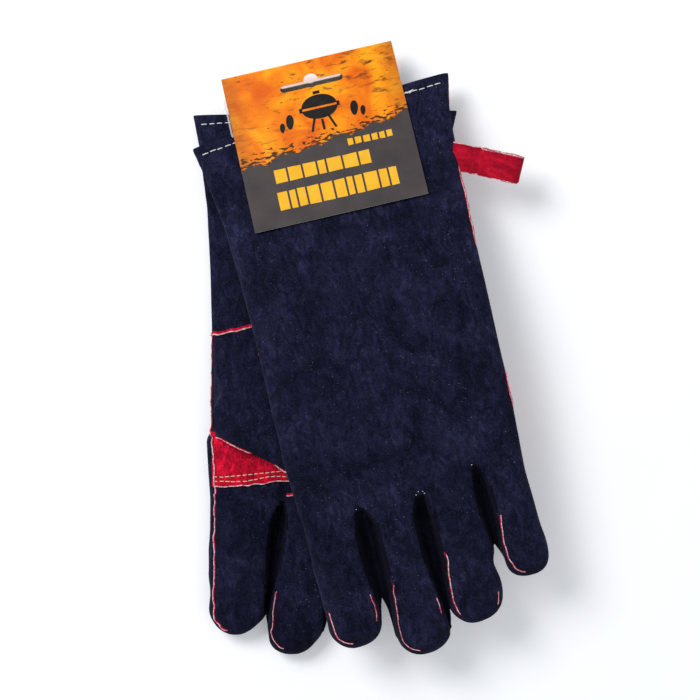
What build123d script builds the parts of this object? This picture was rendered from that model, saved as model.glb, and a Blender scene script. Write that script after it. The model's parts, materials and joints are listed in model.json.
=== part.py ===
"""A pair of lined leather gauntlet gloves for grilling, tied to a folded header card.

The two gloves lie palm to palm. The right glove is underneath with its palm up, and the
left glove lies on it with its back up, turned a little about the vertical. Both are built
from one set of functions in the "flat frame" of a right glove that lies palm up:
x runs across the hand with the thumb side negative, y is 0 at the hem and falls towards
the fingertips, and z is 0 at the back of the hand. Lengths are millimetres, angles degrees.
"""

import math
import os

from build123d import *

# ---- the glove ---------------------------------------------------------------------
WRIST_Y = -138.0
KNUCKLE_Y = -251.0
HAND_HEIGHT = 18.0
HEM_HEIGHT = 12.0
HEM_LIFT = 1.2
LEATHER = 1.6
LINING = 1.2
SLACK = 0.2
HINGE_GAP = 0.15
EDGE_RADIUS = 3.0
FINGER_RADIUS = 4.0
SEAM_DROP = 3.0

# Each section is (y, x on the thumb side, x on the little finger side).
CUFF_SIDES = [(0.0, -86.5, 83.5), (-45.0, -79.5, 74.5), (WRIST_Y + HINGE_GAP, -77.5, 71.5)]
HAND_SIDES = [
    (WRIST_Y - HINGE_GAP, -77.5, 71.5), (-200.0, -79.0, 69.5),
    (KNUCKLE_Y + HINGE_GAP, -77.0, 67.5),
]

# Each finger is (x at its base, x at its tip, base width, tip width, y of its tip).
FINGERS = {
    "index": (-59.8, -61.5, 34.0, 34.0, -336.0),
    "middle": (-21.0, -20.5, 34.0, 35.0, -352.0),
    "ring": (17.0, 17.0, 33.0, 32.0, -340.0),
    "little": (52.5, 54.5, 29.0, 28.0, -319.0),
}

# ---- thumb, folded across the palm -------------------------------------------------
THUMB_BASE = (-63.0, -195.5)
THUMB_ANGLE = -27.3
THUMB_LENGTH = 90.0
THUMB_WIDTH = 32.0
THUMB_LOW = 19.6
THUMB_HIGH = 29.2
THUMB_SPLIT = 26.2
WING_CORNERS = [(-75.5, -148.0), (-46.0, -148.0), (-55.6, -181.1), (-70.2, -209.6), (-75.5, -209.6)]

# ---- reinforcement and welts -------------------------------------------------------
PATCH_HEIGHT = 1.2
PATCH_TOP_Y = -190.0
PATCH_LOW_Y = -239.0
WELT_WIDTH = 2.4
WELT_HEIGHT = 1.0

# ---- how the pair lies -------------------------------------------------------------
MEETING_Z = 29.5
RIGHT_HEM = (-14.9, 153.5)
RIGHT_TURN = 1.05
LEFT_WRIST = (16.6, 20.4)
LEFT_TURN = 14.45
LEFT_CUFF_DROP = 13.0
LEFT_FINGER_DROOP = 8.0
CENTRE = (11.9505, 0.0708)

# ---- hang loop on the left glove's side seam ---------------------------------------
LOOP_LENGTH = 42.0
LOOP_WIDTH = 19.0
LOOP_HEIGHT = 9.4
LOOP_ROOT_HEIGHT = 4.2
LOOP_TURN = -13.0
LOOP_SEAM_X = 78.9
LOOP_SEAM_Y = -54.0

# ---- header card and its tie -------------------------------------------------------
CARD_WIDTH = 112.0
CARD_FRONT = 106.0
CARD_THICK = 0.4
CARD_TURN = 12.95
CARD_SLOPE = 13.5
CARD_ACROSS = -2.9
CARD_PAST_HEM = 34.4
CARD_ABOVE_HEM = 1.4
CARD_BACK_REACH = 19.0
CARD_BACK_FLAT = 78.0
SLOT_FROM_FOLD = 16.5
SLOT_WIDTH = 41.0
SLOT_HEIGHT = 6.0
SLOT_BUMP = 6.0
TIE_DIAMETER = 1.1
TIE_LENGTH = 26.0
TIE_WIDTH = 5.0


def height_low(y):
    """Height of the back of the hand: the cuff rises off the card under it at the hem."""
    return HEM_LIFT * max(0.0, 1 - y / WRIST_Y)


def height_high(y):
    """Height of the palm surface, which tapers from the wrist to the hem."""
    share = max(0.0, 1 - y / WRIST_Y)
    return HAND_HEIGHT + share * (HEM_LIFT + HEM_HEIGHT - HAND_HEIGHT)


def tube(sides, inset, past_ends=0.0):
    """A flat tube through the given sections, shrunk by inset and run past both ends."""
    ends = {sides[0][0]: past_ends, sides[-1][0]: -past_ends}
    with BuildPart() as solid:
        for y, left, right in sides:
            low, high = height_low(y) + inset, height_high(y) - inset
            middle = ((left + right) / 2, y + ends.get(y, 0.0), (low + high) / 2)
            with BuildSketch(Plane(middle, x_dir=(1, 0, 0), z_dir=(0, -1, 0))):
                RectangleRounded(right - left - 2 * inset, high - low, max(EDGE_RADIUS - inset, 0.6))
        loft(ruled=True)
    return solid.part


def leather_tube(sides):
    """The leather of a cuff or a hand, open at both ends."""
    with BuildPart() as shell:
        add(tube(sides, 0.0))
        add(tube(sides, LEATHER, past_ends=1.0), mode=Mode.SUBTRACT)
    return shell.part


def lining_tube(sides):
    """The cotton lining inside a cuff or a hand."""
    outer = LEATHER + SLACK
    with BuildPart() as shell:
        add(tube(sides, outer))
        add(tube(sides, outer + LINING, past_ends=1.0), mode=Mode.SUBTRACT)
    return shell.part


def palm_seam_plane():
    """The seam between back and palm leather runs just under the palm surface."""
    start = Vector(0, 0, height_high(0) - SEAM_DROP)
    end = Vector(0, WRIST_Y, height_high(WRIST_Y) - SEAM_DROP)
    return Plane(start, x_dir=(1, 0, 0), z_dir=Vector(1, 0, 0).cross(start - end))


def keep_side(part, plane, side):
    """The part of a solid on one side of a plane."""
    with BuildPart() as kept:
        add(part)
        split(bisect_by=plane, keep=side)
    return kept.part


def cuff_pieces():
    """Back, palm panel, lining and wrist welt of the gauntlet."""
    leather = leather_tube(CUFF_SIDES)
    _, left, right = CUFF_SIDES[-1]
    with BuildPart() as welt:
        welt_y = WRIST_Y + HINGE_GAP + WELT_WIDTH / 2
        with Locations(((left + right) / 2, welt_y, HAND_HEIGHT + WELT_HEIGHT / 2)):
            Box(right - left - 4 * EDGE_RADIUS, WELT_WIDTH, WELT_HEIGHT)
    return {
        "cuff_back": keep_side(leather, palm_seam_plane(), Keep.BOTTOM),
        "cuff_palm": keep_side(leather, palm_seam_plane(), Keep.TOP),
        "cuff_lining": lining_tube(CUFF_SIDES),
        "wrist_welt": welt.part,
    }


def wing_hole(low, high):
    """The hollow that leads from the hand up into the thumb."""
    with BuildPart() as hollow:
        with BuildSketch(Plane.XY.offset(low)):
            with BuildLine():
                Polyline(*WING_CORNERS, close=True)
            make_face()
            offset(amount=-LEATHER - SLACK - LINING, kind=Kind.INTERSECTION)
        extrude(amount=high - low)
    return hollow.part


def hand_pieces():
    """Back, palm, thumb wing, reinforcement patch and lining of the hand."""
    leather = leather_tube(HAND_SIDES)
    seam = Plane.XY.offset(HAND_HEIGHT - SEAM_DROP)
    hole = wing_hole(0.5 * HAND_HEIGHT, THUMB_HIGH)
    with BuildPart() as back:
        add(keep_side(leather, seam, Keep.BOTTOM))
        for left, right in finger_gaps():
            with Locations(((left + right) / 2, KNUCKLE_Y + HINGE_GAP + LEATHER / 2, 0)):
                stand = (Align.CENTER, Align.CENTER, Align.MIN)
                Box(right - left, LEATHER, HAND_HEIGHT - SEAM_DROP, align=stand)
    with BuildPart() as palm:
        add(keep_side(leather, seam, Keep.TOP))
        add(hole, mode=Mode.SUBTRACT)
    with BuildPart() as lining:
        add(lining_tube(HAND_SIDES))
        add(hole, mode=Mode.SUBTRACT)
        for left, right in finger_gaps():
            with Locations(((left + right) / 2, KNUCKLE_Y, HAND_HEIGHT / 2)):
                Box(right - left + 1, 2 * (LEATHER + SLACK), HAND_HEIGHT, mode=Mode.SUBTRACT)
    return {
        "hand_back": back.part,
        "palm": palm.part,
        "hand_lining": lining.part,
        "thumb_wing": thumb_wing(),
        "palm_patch": palm_patch(),
    }


def finger_gaps():
    """The stretches of the knuckle line between two fingers, as (left, right)."""
    edges = [(base - width / 2, base + width / 2) for base, _, width, _, _ in FINGERS.values()]
    return [(edges[i][1], edges[i + 1][0]) for i in range(len(edges) - 1)]


def thumb_wing():
    """The raised leather between wrist and thumb, open to the hand and to the thumb."""
    wall = LEATHER + SLACK + LINING
    with BuildPart() as wing:
        with BuildSketch(Plane.XY.offset(HAND_HEIGHT)):
            with BuildLine():
                Polyline(*WING_CORNERS, close=True)
            make_face()
        extrude(amount=THUMB_HIGH - HAND_HEIGHT)
        add(wing_hole(HAND_HEIGHT - 1, THUMB_HIGH - wall), mode=Mode.SUBTRACT)
        add(thumb_solid(wall, past_base=12.0), mode=Mode.SUBTRACT)
    return wing.part


def palm_patch():
    """The reinforcement sewn to the palm between thumb and first finger."""
    left, right = HAND_SIDES[1][1] + 2 * EDGE_RADIUS, HAND_SIDES[1][2] - 2 * EDGE_RADIUS
    with BuildPart() as patch:
        with BuildSketch(Plane.XY.offset(HAND_HEIGHT)):
            with BuildLine():
                Polyline(
                    (left, -212.0), (left, PATCH_LOW_Y), (right, PATCH_LOW_Y), (right, PATCH_TOP_Y),
                    (-40.0, PATCH_TOP_Y), (-53.0, -212.0), close=True,
                )
            make_face()
        extrude(amount=PATCH_HEIGHT)
    return patch.part


def finger_solid(name, inset, past_base=0.0):
    """A finger as a flat capsule with rounded edges, shrunk by inset."""
    base_x, tip_x, base_width, tip_width, tip_y = FINGERS[name]
    base_y = KNUCKLE_Y - HINGE_GAP
    radius = tip_width / 2
    with BuildPart() as solid:
        with BuildSketch(Plane.XY.offset(inset)):
            with Locations((tip_x, tip_y + radius)):
                Circle(radius - inset)
            with Locations((base_x, base_y + past_base - 0.5)):
                Rectangle(base_width - 2 * inset, 1.0)
            make_hull()
        extrude(amount=HAND_HEIGHT - 2 * inset)
        rims = solid.faces().sort_by(Axis.Z)[0].edges() + solid.faces().sort_by(Axis.Z)[-1].edges()
        past_rims = rims.filter_by(lambda edge: edge.center().Y < base_y + past_base - 0.01)
        fillet(past_rims, FINGER_RADIUS - inset)
    return solid.part


def finger_pieces(name):
    """Back, fourchette band, front and lining of one finger."""
    low, high = Plane.XY.offset(FINGER_RADIUS), Plane.XY.offset(HAND_HEIGHT - FINGER_RADIUS)
    with BuildPart() as leather:
        add(finger_solid(name, 0.0))
        add(finger_solid(name, LEATHER, past_base=2.0), mode=Mode.SUBTRACT)
    outer = LEATHER + SLACK
    with BuildPart() as lining:
        add(finger_solid(name, outer))
        add(finger_solid(name, outer + LINING, past_base=2.0), mode=Mode.SUBTRACT)
    band = keep_side(keep_side(leather.part, low, Keep.TOP), high, Keep.BOTTOM)
    return {
        f"{name}_back": keep_side(leather.part, low, Keep.BOTTOM),
        f"{name}_fourchette": band,
        f"{name}_front": keep_side(leather.part, high, Keep.TOP),
        f"{name}_lining": lining.part,
    }


def thumb_solid(inset, past_base=0.0):
    """The thumb as a flat capsule lying across the palm, shrunk by inset."""
    radius = THUMB_WIDTH / 2
    frame = Plane((*THUMB_BASE, THUMB_LOW + inset)).rotated((0, 0, THUMB_ANGLE))
    with BuildPart() as solid:
        with BuildSketch(frame):
            with Locations((THUMB_LENGTH - radius, 0)):
                Circle(radius - inset)
            with Locations((0.5 + 2 * HINGE_GAP - past_base, 0)):
                Rectangle(1.0, 2 * (radius - inset))
            make_hull()
        extrude(amount=THUMB_HIGH - THUMB_LOW - 2 * inset)
    return solid.part


def thumb_pieces():
    """Outer leather, palm-side leather and lining of the thumb."""
    with BuildPart() as leather:
        add(thumb_solid(0.0))
        add(thumb_solid(LEATHER, past_base=2.0), mode=Mode.SUBTRACT)
    with BuildPart() as lining:
        add(thumb_solid(LEATHER + SLACK))
        add(thumb_solid(LEATHER + SLACK + 0.8, past_base=2.0), mode=Mode.SUBTRACT)
    seam = Plane.XY.offset(THUMB_SPLIT)
    return {
        "thumb_back": keep_side(leather.part, seam, Keep.TOP),
        "thumb_front": keep_side(leather.part, seam, Keep.BOTTOM),
        "thumb_lining": lining.part,
    }


# ---- placing the gloves ------------------------------------------------------------
def place_right(part):
    """Carries a piece from the flat frame to the glove underneath."""
    return part.moved(Location((RIGHT_HEM[0] - CENTRE[0], RIGHT_HEM[1] - CENTRE[1], 0), (0, 0, RIGHT_TURN)))


def left_motion(segment):
    """The move that lays a mirrored cuff, hand or finger in its place on top."""
    lay = Location((LEFT_WRIST[0] - CENTRE[0], LEFT_WRIST[1] - CENTRE[1], 0), (0, 0, LEFT_TURN))
    bends = {"cuff": (WRIST_Y, -LEFT_CUFF_DROP), "finger": (KNUCKLE_Y, LEFT_FINGER_DROOP)}
    bend_y, bend = bends.get(segment, (0, 0))
    hinge = Location((0, bend_y, 2 * MEETING_Z - HAND_HEIGHT))
    return lay * Location((0, -WRIST_Y, 0)) * hinge * Location((0, 0, 0), (bend, 0, 0)) * hinge.inverse()


def place_left(part, segment):
    """Carries a piece from the flat frame to the glove on top, which is a mirror image."""
    with BuildPart() as flipped:
        mirror(part, about=Plane.XY.offset(MEETING_Z))
    return flipped.part.moved(left_motion(segment))


def left_point(x, y, z, segment):
    """The place of a flat-frame point on the glove on top."""
    return (left_motion(segment) * Location((x, y, 2 * MEETING_Z - z))).position


# ---- header card, tie and hang loop ------------------------------------------------
def card_plane():
    """The plane of the card's front: x along the fold, y from the card's foot to the fold."""
    turn, slope = math.radians(CARD_TURN), math.radians(CARD_SLOPE)
    down = Vector(math.sin(turn) * math.cos(slope), -math.cos(turn) * math.cos(slope), math.sin(slope))
    along = Vector(math.cos(turn), math.sin(turn), 0)
    normal = along.cross(-down)
    hem = left_point(CARD_ACROSS, 0, HEM_LIFT, "cuff")
    return Plane(hem + normal * CARD_ABOVE_HEM - down * CARD_PAST_HEM, x_dir=along, z_dir=normal)


def hang_slot(mode):
    """The hanging slot's outline: a rounded bar with a bump towards the fold."""
    with Locations((0, -SLOT_FROM_FOLD)):
        SlotOverall(SLOT_WIDTH, SLOT_HEIGHT, mode=mode)
    with Locations((0, -SLOT_FROM_FOLD + SLOT_HEIGHT / 2 - 0.5)):
        Circle(SLOT_BUMP, mode=mode)


def card_front():
    """The printed front, which lies on the left cuff."""
    with BuildPart() as front:
        with BuildSketch(card_plane()):
            with Locations((0, -HINGE_GAP - CARD_FRONT / 2)):
                Rectangle(CARD_WIDTH, CARD_FRONT)
            hang_slot(Mode.SUBTRACT)
        extrude(amount=CARD_THICK)
    return front.part


def card_back():
    """The back, which drops from the fold to the ground and runs under the right cuff."""
    fold = card_plane().origin
    drop = math.atan2(fold.Z, CARD_BACK_REACH)
    turn = math.radians(CARD_TURN)
    ahead = Vector(math.sin(turn), -math.cos(turn), 0)
    across = Vector(math.cos(turn), math.sin(turn), 0)
    side = Plane(fold + across * CARD_WIDTH / 2, x_dir=ahead, z_dir=-across)
    reach = CARD_BACK_REACH
    with BuildPart() as back:
        with BuildSketch(side):
            with BuildLine():
                Polyline(
                    (HINGE_GAP, -2 * HINGE_GAP), (reach + HINGE_GAP, CARD_THICK - fold.Z),
                    (reach + CARD_BACK_FLAT, CARD_THICK - fold.Z), (reach + CARD_BACK_FLAT, -fold.Z),
                    (reach, -fold.Z), (HINGE_GAP, -2 * HINGE_GAP - CARD_THICK / math.cos(drop)), close=True,
                )
            make_face()
        extrude(amount=CARD_WIDTH)
        slope = Plane(fold, x_dir=across, z_dir=Vector(0, 0, math.cos(drop)) + ahead * math.sin(drop))
        with BuildSketch(slope):
            hang_slot(Mode.ADD)
        extrude(amount=4.0, both=True, mode=Mode.SUBTRACT)
    return back.part


def tag_loop():
    """The clear plastic loop that ties the left cuff's hem to the card."""
    frame = card_plane()
    middle = frame.from_local_coords((-CARD_WIDTH / 2 + 1.0, -CARD_PAST_HEM + TIE_LENGTH / 2 - 6.0, -0.8))
    with BuildPart() as loop:
        with BuildSketch(Plane(middle, x_dir=frame.x_dir, z_dir=frame.z_dir)):
            SlotOverall(TIE_LENGTH, TIE_WIDTH, rotation=90)
            inner = (TIE_LENGTH - 2 * TIE_DIAMETER, TIE_WIDTH - 2 * TIE_DIAMETER)
            SlotOverall(*inner, rotation=90, mode=Mode.SUBTRACT)
        extrude(amount=TIE_DIAMETER / 2, both=True)
    return loop.part


def loop_frame():
    """The hang loop's own frame: x along the strap, z up, at the side seam."""
    seam = left_point(LOOP_SEAM_X, LOOP_SEAM_Y, HEM_HEIGHT / 2 + HEM_LIFT, "cuff")
    turn = math.radians(LOOP_TURN)
    return Plane(seam, x_dir=(math.cos(turn), math.sin(turn), 0), z_dir=(0, 0, 1))


def hang_loop():
    """A folded leather strap, pinched at the seam and open towards its end."""
    frame = loop_frame()
    side = Plane(frame.origin, x_dir=frame.x_dir, z_dir=-frame.y_dir)
    far, near = LOOP_HEIGHT / 2, LOOP_ROOT_HEIGHT / 2
    with BuildPart() as strap:
        with BuildSketch(side):
            with Locations((LOOP_LENGTH - far, 0)):
                Circle(far)
            with Locations((near, 0)):
                Circle(near)
            make_hull()
        extrude(amount=LOOP_WIDTH / 2, both=True)
        with BuildSketch(side):
            with Locations((LOOP_LENGTH - far, 0)):
                Circle(far - LEATHER)
            with Locations((3 * near, 0)):
                Circle(0.4 * near)
            make_hull()
        extrude(amount=LOOP_WIDTH, both=True, mode=Mode.SUBTRACT)
    return strap.part


def glove_segments():
    """Every piece of one glove in the flat frame, as {segment: {name: part}}."""
    segments = {"cuff": cuff_pieces(), "hand": hand_pieces(), "thumb": thumb_pieces()}
    for name in FINGERS:
        segments[name] = finger_pieces(name)
    return segments


def build():
    """Every piece of the pair in its place, as {node name: part}."""
    nodes = {}
    for segment, pieces in glove_segments().items():
        kind = "finger" if segment in FINGERS else segment
        for name, part in pieces.items():
            nodes[f"right_{name}"] = place_right(part)
            nodes[f"left_{name}"] = place_left(part, kind)
    nodes["card_front"] = card_front()
    nodes["card_back"] = card_back()
    nodes["tag_loop"] = tag_loop()
    nodes["hang_loop"] = hang_loop()
    return nodes


os.makedirs("parts", exist_ok=True)
pair = build()
for node, part in pair.items():
    part.label = node
    export_step(part, f"parts/{node}.step")
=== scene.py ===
"""The looks of a pair of suede grill gauntlets under a folded header card.

Each glove is made in the flat frame of a right glove that lies palm up: x runs across the
hand with the thumb side negative, y is 0 at the hem and falls towards the fingertips, and
z is 0 at the back of the hand, in millimetres. lay() then carries it to its place.
"""

import json
import math
import random

import bmesh
import bpy
import numpy as np
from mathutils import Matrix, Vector, noise
from mathutils.bvhtree import BVHTree


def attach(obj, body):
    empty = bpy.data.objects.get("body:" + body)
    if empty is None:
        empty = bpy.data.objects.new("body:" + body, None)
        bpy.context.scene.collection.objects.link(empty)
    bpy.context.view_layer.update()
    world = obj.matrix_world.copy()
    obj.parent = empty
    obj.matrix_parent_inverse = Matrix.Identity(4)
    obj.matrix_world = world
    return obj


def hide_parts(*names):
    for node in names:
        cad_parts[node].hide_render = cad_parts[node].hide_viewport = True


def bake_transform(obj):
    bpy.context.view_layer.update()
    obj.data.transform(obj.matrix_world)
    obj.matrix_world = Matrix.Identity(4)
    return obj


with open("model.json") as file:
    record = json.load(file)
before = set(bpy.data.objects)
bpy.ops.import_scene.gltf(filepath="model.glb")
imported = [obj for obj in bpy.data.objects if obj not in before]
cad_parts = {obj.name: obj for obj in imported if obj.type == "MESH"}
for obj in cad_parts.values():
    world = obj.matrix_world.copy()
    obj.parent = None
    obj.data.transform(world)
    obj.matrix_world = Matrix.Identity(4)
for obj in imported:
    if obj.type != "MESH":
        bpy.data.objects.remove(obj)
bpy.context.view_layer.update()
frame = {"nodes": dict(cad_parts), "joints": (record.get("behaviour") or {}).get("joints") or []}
JOINTS = {joint["name"]: joint for joint in frame["joints"]}
MM = 0.001

# ---- the glove in its flat frame, mm -------------------------------------------------
WRIST_Y = -138.0
KNUCKLE_Y = -251.0
HAND_HEIGHT = 18.0
HEM_HEIGHT = 12.0
HEM_LIFT = 1.2
# The outline of cuff and hand: y, x on the thumb side, x on the little finger side.
EDGES = [(0, -87.0, 84.5), (-20, -83.5, 79.5), (-60, -79.0, 75.0), (-100, -77.6, 73.0),
         (-138, -77.2, 71.5), (-170, -78.2, 70.3), (-205, -78.8, 69.6), (-235, -77.6, 67.6),
         (-250, -76.8, 66.6)]
THUMB_SIDE, LITTLE_SIDE = 1, 2
FINGERS = ["index", "middle", "ring", "little"]
# Centre x at the base and at the tip, width at the base and at the tip, and y of the tip.
FINGER_PLACES = {
    "left": {"index": (-59.3, -61.0, 35.6, 35.5, -337.0),
             "middle": (-21.1, -20.5, 36.0, 36.5, -352.0),
             "ring": (17.1, 17.0, 35.6, 33.5, -340.5),
             "little": (51.8, 54.5, 29.0, 29.5, -319.5)},
    "right": {"index": (-57.6, -65.6, 45.6, 34.0, -337.0),
              "middle": (-14.6, -29.5, 35.4, 36.0, -350.5),
              "ring": (21.2, 9.5, 31.6, 33.5, -340.5),
              "little": (53.4, 47.5, 28.0, 29.0, -319.5)},
}
# The valleys between fingers on the face that looks up: y of the top, greatest half width,
# the length over which that is held, the length of the taper, and a shift in x.
VALLEYS = {
    "left": [(-249.0, 9.2, 30.0, 55.0, 1.6), (-249.5, 7.8, 30.0, 55.0, -1.2),
             (-242.0, 6.3, 22.0, 45.0, 1.0)],
    "right": [(-250.0, 6.6, 25.0, 50.0, 0.0), (-249.5, 6.4, 25.0, 50.0, 0.0),
              (-247.0, 5.6, 22.0, 45.0, 0.0)],
}
# How far the outline steps out below the thumb, and how low the fingers' webs are closed.
BULGE = {"left": 0.8, "right": 3.4}
VALLEY_DEPTH = {"left": 12.6, "right": 11.0}
WEB_OPEN_Y = {"left": [-306.0, -322.0, -290.0], "right": [-322.0, -330.0, -300.0]}
THUMB_BASE = (-63.0, -195.5)
THUMB_ANGLE = -27.3
THUMB_LENGTH = 91.0
THUMB_WIDTH = 32.5
THUMB_LOW = 19.5
THUMB_HIGH = 29.3
THUMB_LEFT = -76.6
VOXEL = 1.35
SKIN_PASSES = 7
THUMB_VOXEL = 1.4
THUMB_PASSES = 14
LEATHER = 1.7
CUFF_CUT = -166.0
FINGER_CUT = -243.0
FINGER_ROOT_Y = -222.0
WRIST_BLEND = 14.0
CUFF_DROP = 13.0
FINGER_DROOP = 8.0
HEM_SKEW = 0.042


# ---- placing -------------------------------------------------------------------------
def smooth(t):
    t = np.clip(t, 0.0, 1.0)
    return t * t * (3 - 2 * t)


def turn_about_x(y, z, y0, z0, degrees):
    c, s = math.cos(math.radians(degrees)), math.sin(math.radians(degrees))
    return y0 + (y - y0) * c - (z - z0) * s, z0 + (y - y0) * s + (z - z0) * c


def lay(points, side):
    """Carries flat-frame points, in mm, to the glove's place in the row frame, in metres."""
    p = np.array(points, float).reshape(-1, 3).copy()
    wrist = JOINTS[side + "_wrist"]
    origin = np.array(wrist["pos_m"]) / MM
    across = np.array(wrist["axis"]) * (1 if side == "left" else -1)
    x, y, z = p.T
    if side == "left":
        y = y + HEM_SKEW * x * smooth((y + 90) / 85)
        z = origin[2] + HAND_HEIGHT - z
        cuff = smooth((y - WRIST_Y + WRIST_BLEND) / (2 * WRIST_BLEND))
        bent = turn_about_x(y, z, WRIST_Y, origin[2], -CUFF_DROP)
        tips = smooth((KNUCKLE_Y + WRIST_BLEND - y) / (2 * WRIST_BLEND))
        droop = turn_about_x(y, z, KNUCKLE_Y, origin[2], FINGER_DROOP)
        y, z = (y + cuff * (bent[0] - y) + tips * (droop[0] - y),
                z + cuff * (bent[1] - z) + tips * (droop[1] - z))
    y = y - WRIST_Y
    rows = [origin[0] + across[0] * x - across[1] * y,
            origin[1] + across[1] * x + across[0] * y, z]
    return np.stack(rows, axis=1) * MM


def lay_point(x, y, z, side):
    return tuple(lay([(x, y, z)], side)[0])


# ---- meshes --------------------------------------------------------------------------
def new_mesh(name, points, faces, materials, slots=None, rest=None, shade=True):
    """A mesh object from points in metres, with its flat-frame place kept for the materials."""
    mesh = bpy.data.meshes.new(name)
    mesh.from_pydata([tuple(p) for p in points], [], [tuple(f) for f in faces])
    for material in materials:
        mesh.materials.append(material)
    if slots is not None:
        mesh.polygons.foreach_set("material_index", np.array(slots, np.int32))
    mesh.polygons.foreach_set("use_smooth", np.full(len(mesh.polygons), shade))
    keep_rest(mesh, points if rest is None else rest)
    obj = bpy.data.objects.new(name, mesh)
    bpy.context.scene.collection.objects.link(obj)
    return obj


def keep_rest(mesh, rest):
    attribute = mesh.attributes.new("rest", "FLOAT_VECTOR", "POINT")
    attribute.data.foreach_set("vector", np.array(rest, np.float32).ravel())


def arrays(mesh):
    """Points and faces of a mesh, as numpy rows and a list of index tuples."""
    points = np.zeros(len(mesh.vertices) * 3)
    mesh.vertices.foreach_get("co", points)
    return points.reshape(-1, 3), [tuple(p.vertices) for p in mesh.polygons]


def applied(obj):
    """The mesh with its modifiers applied."""
    graph = bpy.context.evaluated_depsgraph_get()
    graph.update()
    mesh = bpy.data.meshes.new_from_object(obj.evaluated_get(graph))
    obj.modifiers.clear()
    obj.data = mesh
    return obj


def loft(rings):
    """A closed surface through rings of equal point counts."""
    count = len(rings[0])
    points = np.concatenate(rings)
    faces = []
    for i in range(len(rings) - 1):
        for j in range(count):
            k = (j + 1) % count
            faces.append((i * count + j, i * count + k, (i + 1) * count + k, (i + 1) * count + j))
    faces.append(tuple(range(count))[::-1])
    faces.append(tuple((len(rings) - 1) * count + j for j in range(count)))
    return points, faces


def grid_faces(columns, rows):
    """Quads over points that run row by row."""
    return [(j * columns + i, j * columns + i + 1, (j + 1) * columns + i + 1, (j + 1) * columns + i)
            for j in range(rows - 1) for i in range(columns - 1)]


def ring(centre, across, half_width, half_height, power=2.6, count=48):
    """A flattened round section that faces along the glove or along the thumb."""
    angle = np.linspace(0, 2 * math.pi, count, endpoint=False)
    u = np.sign(np.cos(angle)) * np.abs(np.cos(angle)) ** (2 / power) * half_width
    w = np.sign(np.sin(angle)) * np.abs(np.sin(angle)) ** (2 / power) * half_height
    return np.array(centre) + np.outer(u, across) + np.outer(w, (0, 0, 1))


def height_low(y):
    return HEM_LIFT * np.clip(1 - y / WRIST_Y, 0, 1)


def height_high(y):
    return HAND_HEIGHT + np.clip(1 - y / WRIST_Y, 0, 1) * (HEM_LIFT + HEM_HEIGHT - HAND_HEIGHT)


def side_x(y, column):
    table = np.array(EDGES)[::-1]
    return float(np.interp(y, table[:, 0], table[:, column]))


def outer_x(y, side):
    """The thumb side's outline, which steps out a little below the thumb."""
    return side_x(y, THUMB_SIDE) - BULGE[side] * float(smooth((-203.5 - y) / 7))


def body_rings(side):
    """Sections of cuff and hand, run a little past the hem, which is cut open later."""
    rings = []
    for y in [6.0] + list(np.arange(0, KNUCKLE_Y + 4, -6.0)) + [KNUCKLE_Y]:
        left, right = outer_x(y, side), side_x(y, LITTLE_SIDE)
        low, high = height_low(y), height_high(y)
        if y < KNUCKLE_Y + 6:
            low, high = low + 1.0, high - 1.0
        centre = ((left + right) / 2, y, (low + high) / 2)
        rings.append(ring(centre, (1, 0, 0), (right - left) / 2, (high - low) / 2, power=3.8, count=96))
    return rings


def finger_at(name, y, side):
    """Centre x and half width of a finger at a height along it."""
    base_x, tip_x, base_width, tip_width, tip_y = FINGER_PLACES[side][name]
    t = np.clip((KNUCKLE_Y - y) / (KNUCKLE_Y - tip_y), 0, 1)
    return base_x + t * (tip_x - base_x), (base_width + t * (tip_width - base_width)) / 2


def web_at(number, y, side):
    """Centre x and width of the gap between two neighbouring fingers."""
    x0, half0 = finger_at(FINGERS[number], y, side)
    x1, half1 = finger_at(FINGERS[number + 1], y, side)
    return (x0 + half0 + x1 - half1) / 2, x1 - half1 - x0 - half0


def valley_at(number, y, side):
    """Centre x and half width of the valley between two fingers."""
    top, half, held, taper, shift = VALLEYS[side][number]
    down = top - y
    width = half * np.sqrt(np.clip(down / 15, 0, 1)) * (1 - 0.66 * smooth((down - held) / taper))
    return web_at(number, y, side)[0] + shift * np.clip(down / 12, 0, 1), width


def finger_rings(name, side):
    tip_y, tip_width = FINGER_PLACES[side][name][4], FINGER_PLACES[side][name][3]
    rounding = 0.56 * tip_width
    rings = []
    stops = np.concatenate([np.linspace(FINGER_ROOT_Y, tip_y + rounding, 22),
                            tip_y + rounding * (1 - np.sin(np.linspace(0.12, 1.5, 9)))])
    for y in stops:
        x, half = finger_at(name, y, side)
        cut = np.clip((tip_y + rounding - y) / rounding, 0, 0.9995)
        rings.append(ring((x, y, HAND_HEIGHT / 2), (1, 0, 0), half * math.sqrt(1 - cut ** 2.3),
                          (HAND_HEIGHT / 2) * (1 - 0.12 * cut) * math.sqrt(1 - cut ** 3.2), power=2.8))
    return rings


def thumb_axis():
    angle = math.radians(THUMB_ANGLE)
    cos, sin = math.cos(angle), math.sin(angle)
    return np.array([cos, sin, 0.0]), np.array([-sin, cos, 0.0])


def thumb_rings():
    along, across = thumb_axis()
    rings = []
    rounding = 0.5 * THUMB_WIDTH
    middle, half = (THUMB_LOW + THUMB_HIGH) / 2, (THUMB_HIGH - THUMB_LOW) / 2
    stops = np.concatenate([np.linspace(-14, THUMB_LENGTH - rounding, 18),
                            THUMB_LENGTH - rounding * (1 - np.sin(np.linspace(0.12, 1.5, 8)))])
    for s in stops:
        cut = np.clip((s - THUMB_LENGTH + rounding) / rounding, 0, 0.9995)
        centre = np.array([*THUMB_BASE, middle]) + along * s
        back = np.clip(-s / 14, 0, 1)
        rings.append(ring(centre, across, THUMB_WIDTH / 2 * math.sqrt(1 - cut ** 2.2) * (1 - 0.25 * back),
                          half * math.sqrt(1 - cut ** 3), power=2.6))
    return rings


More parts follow.
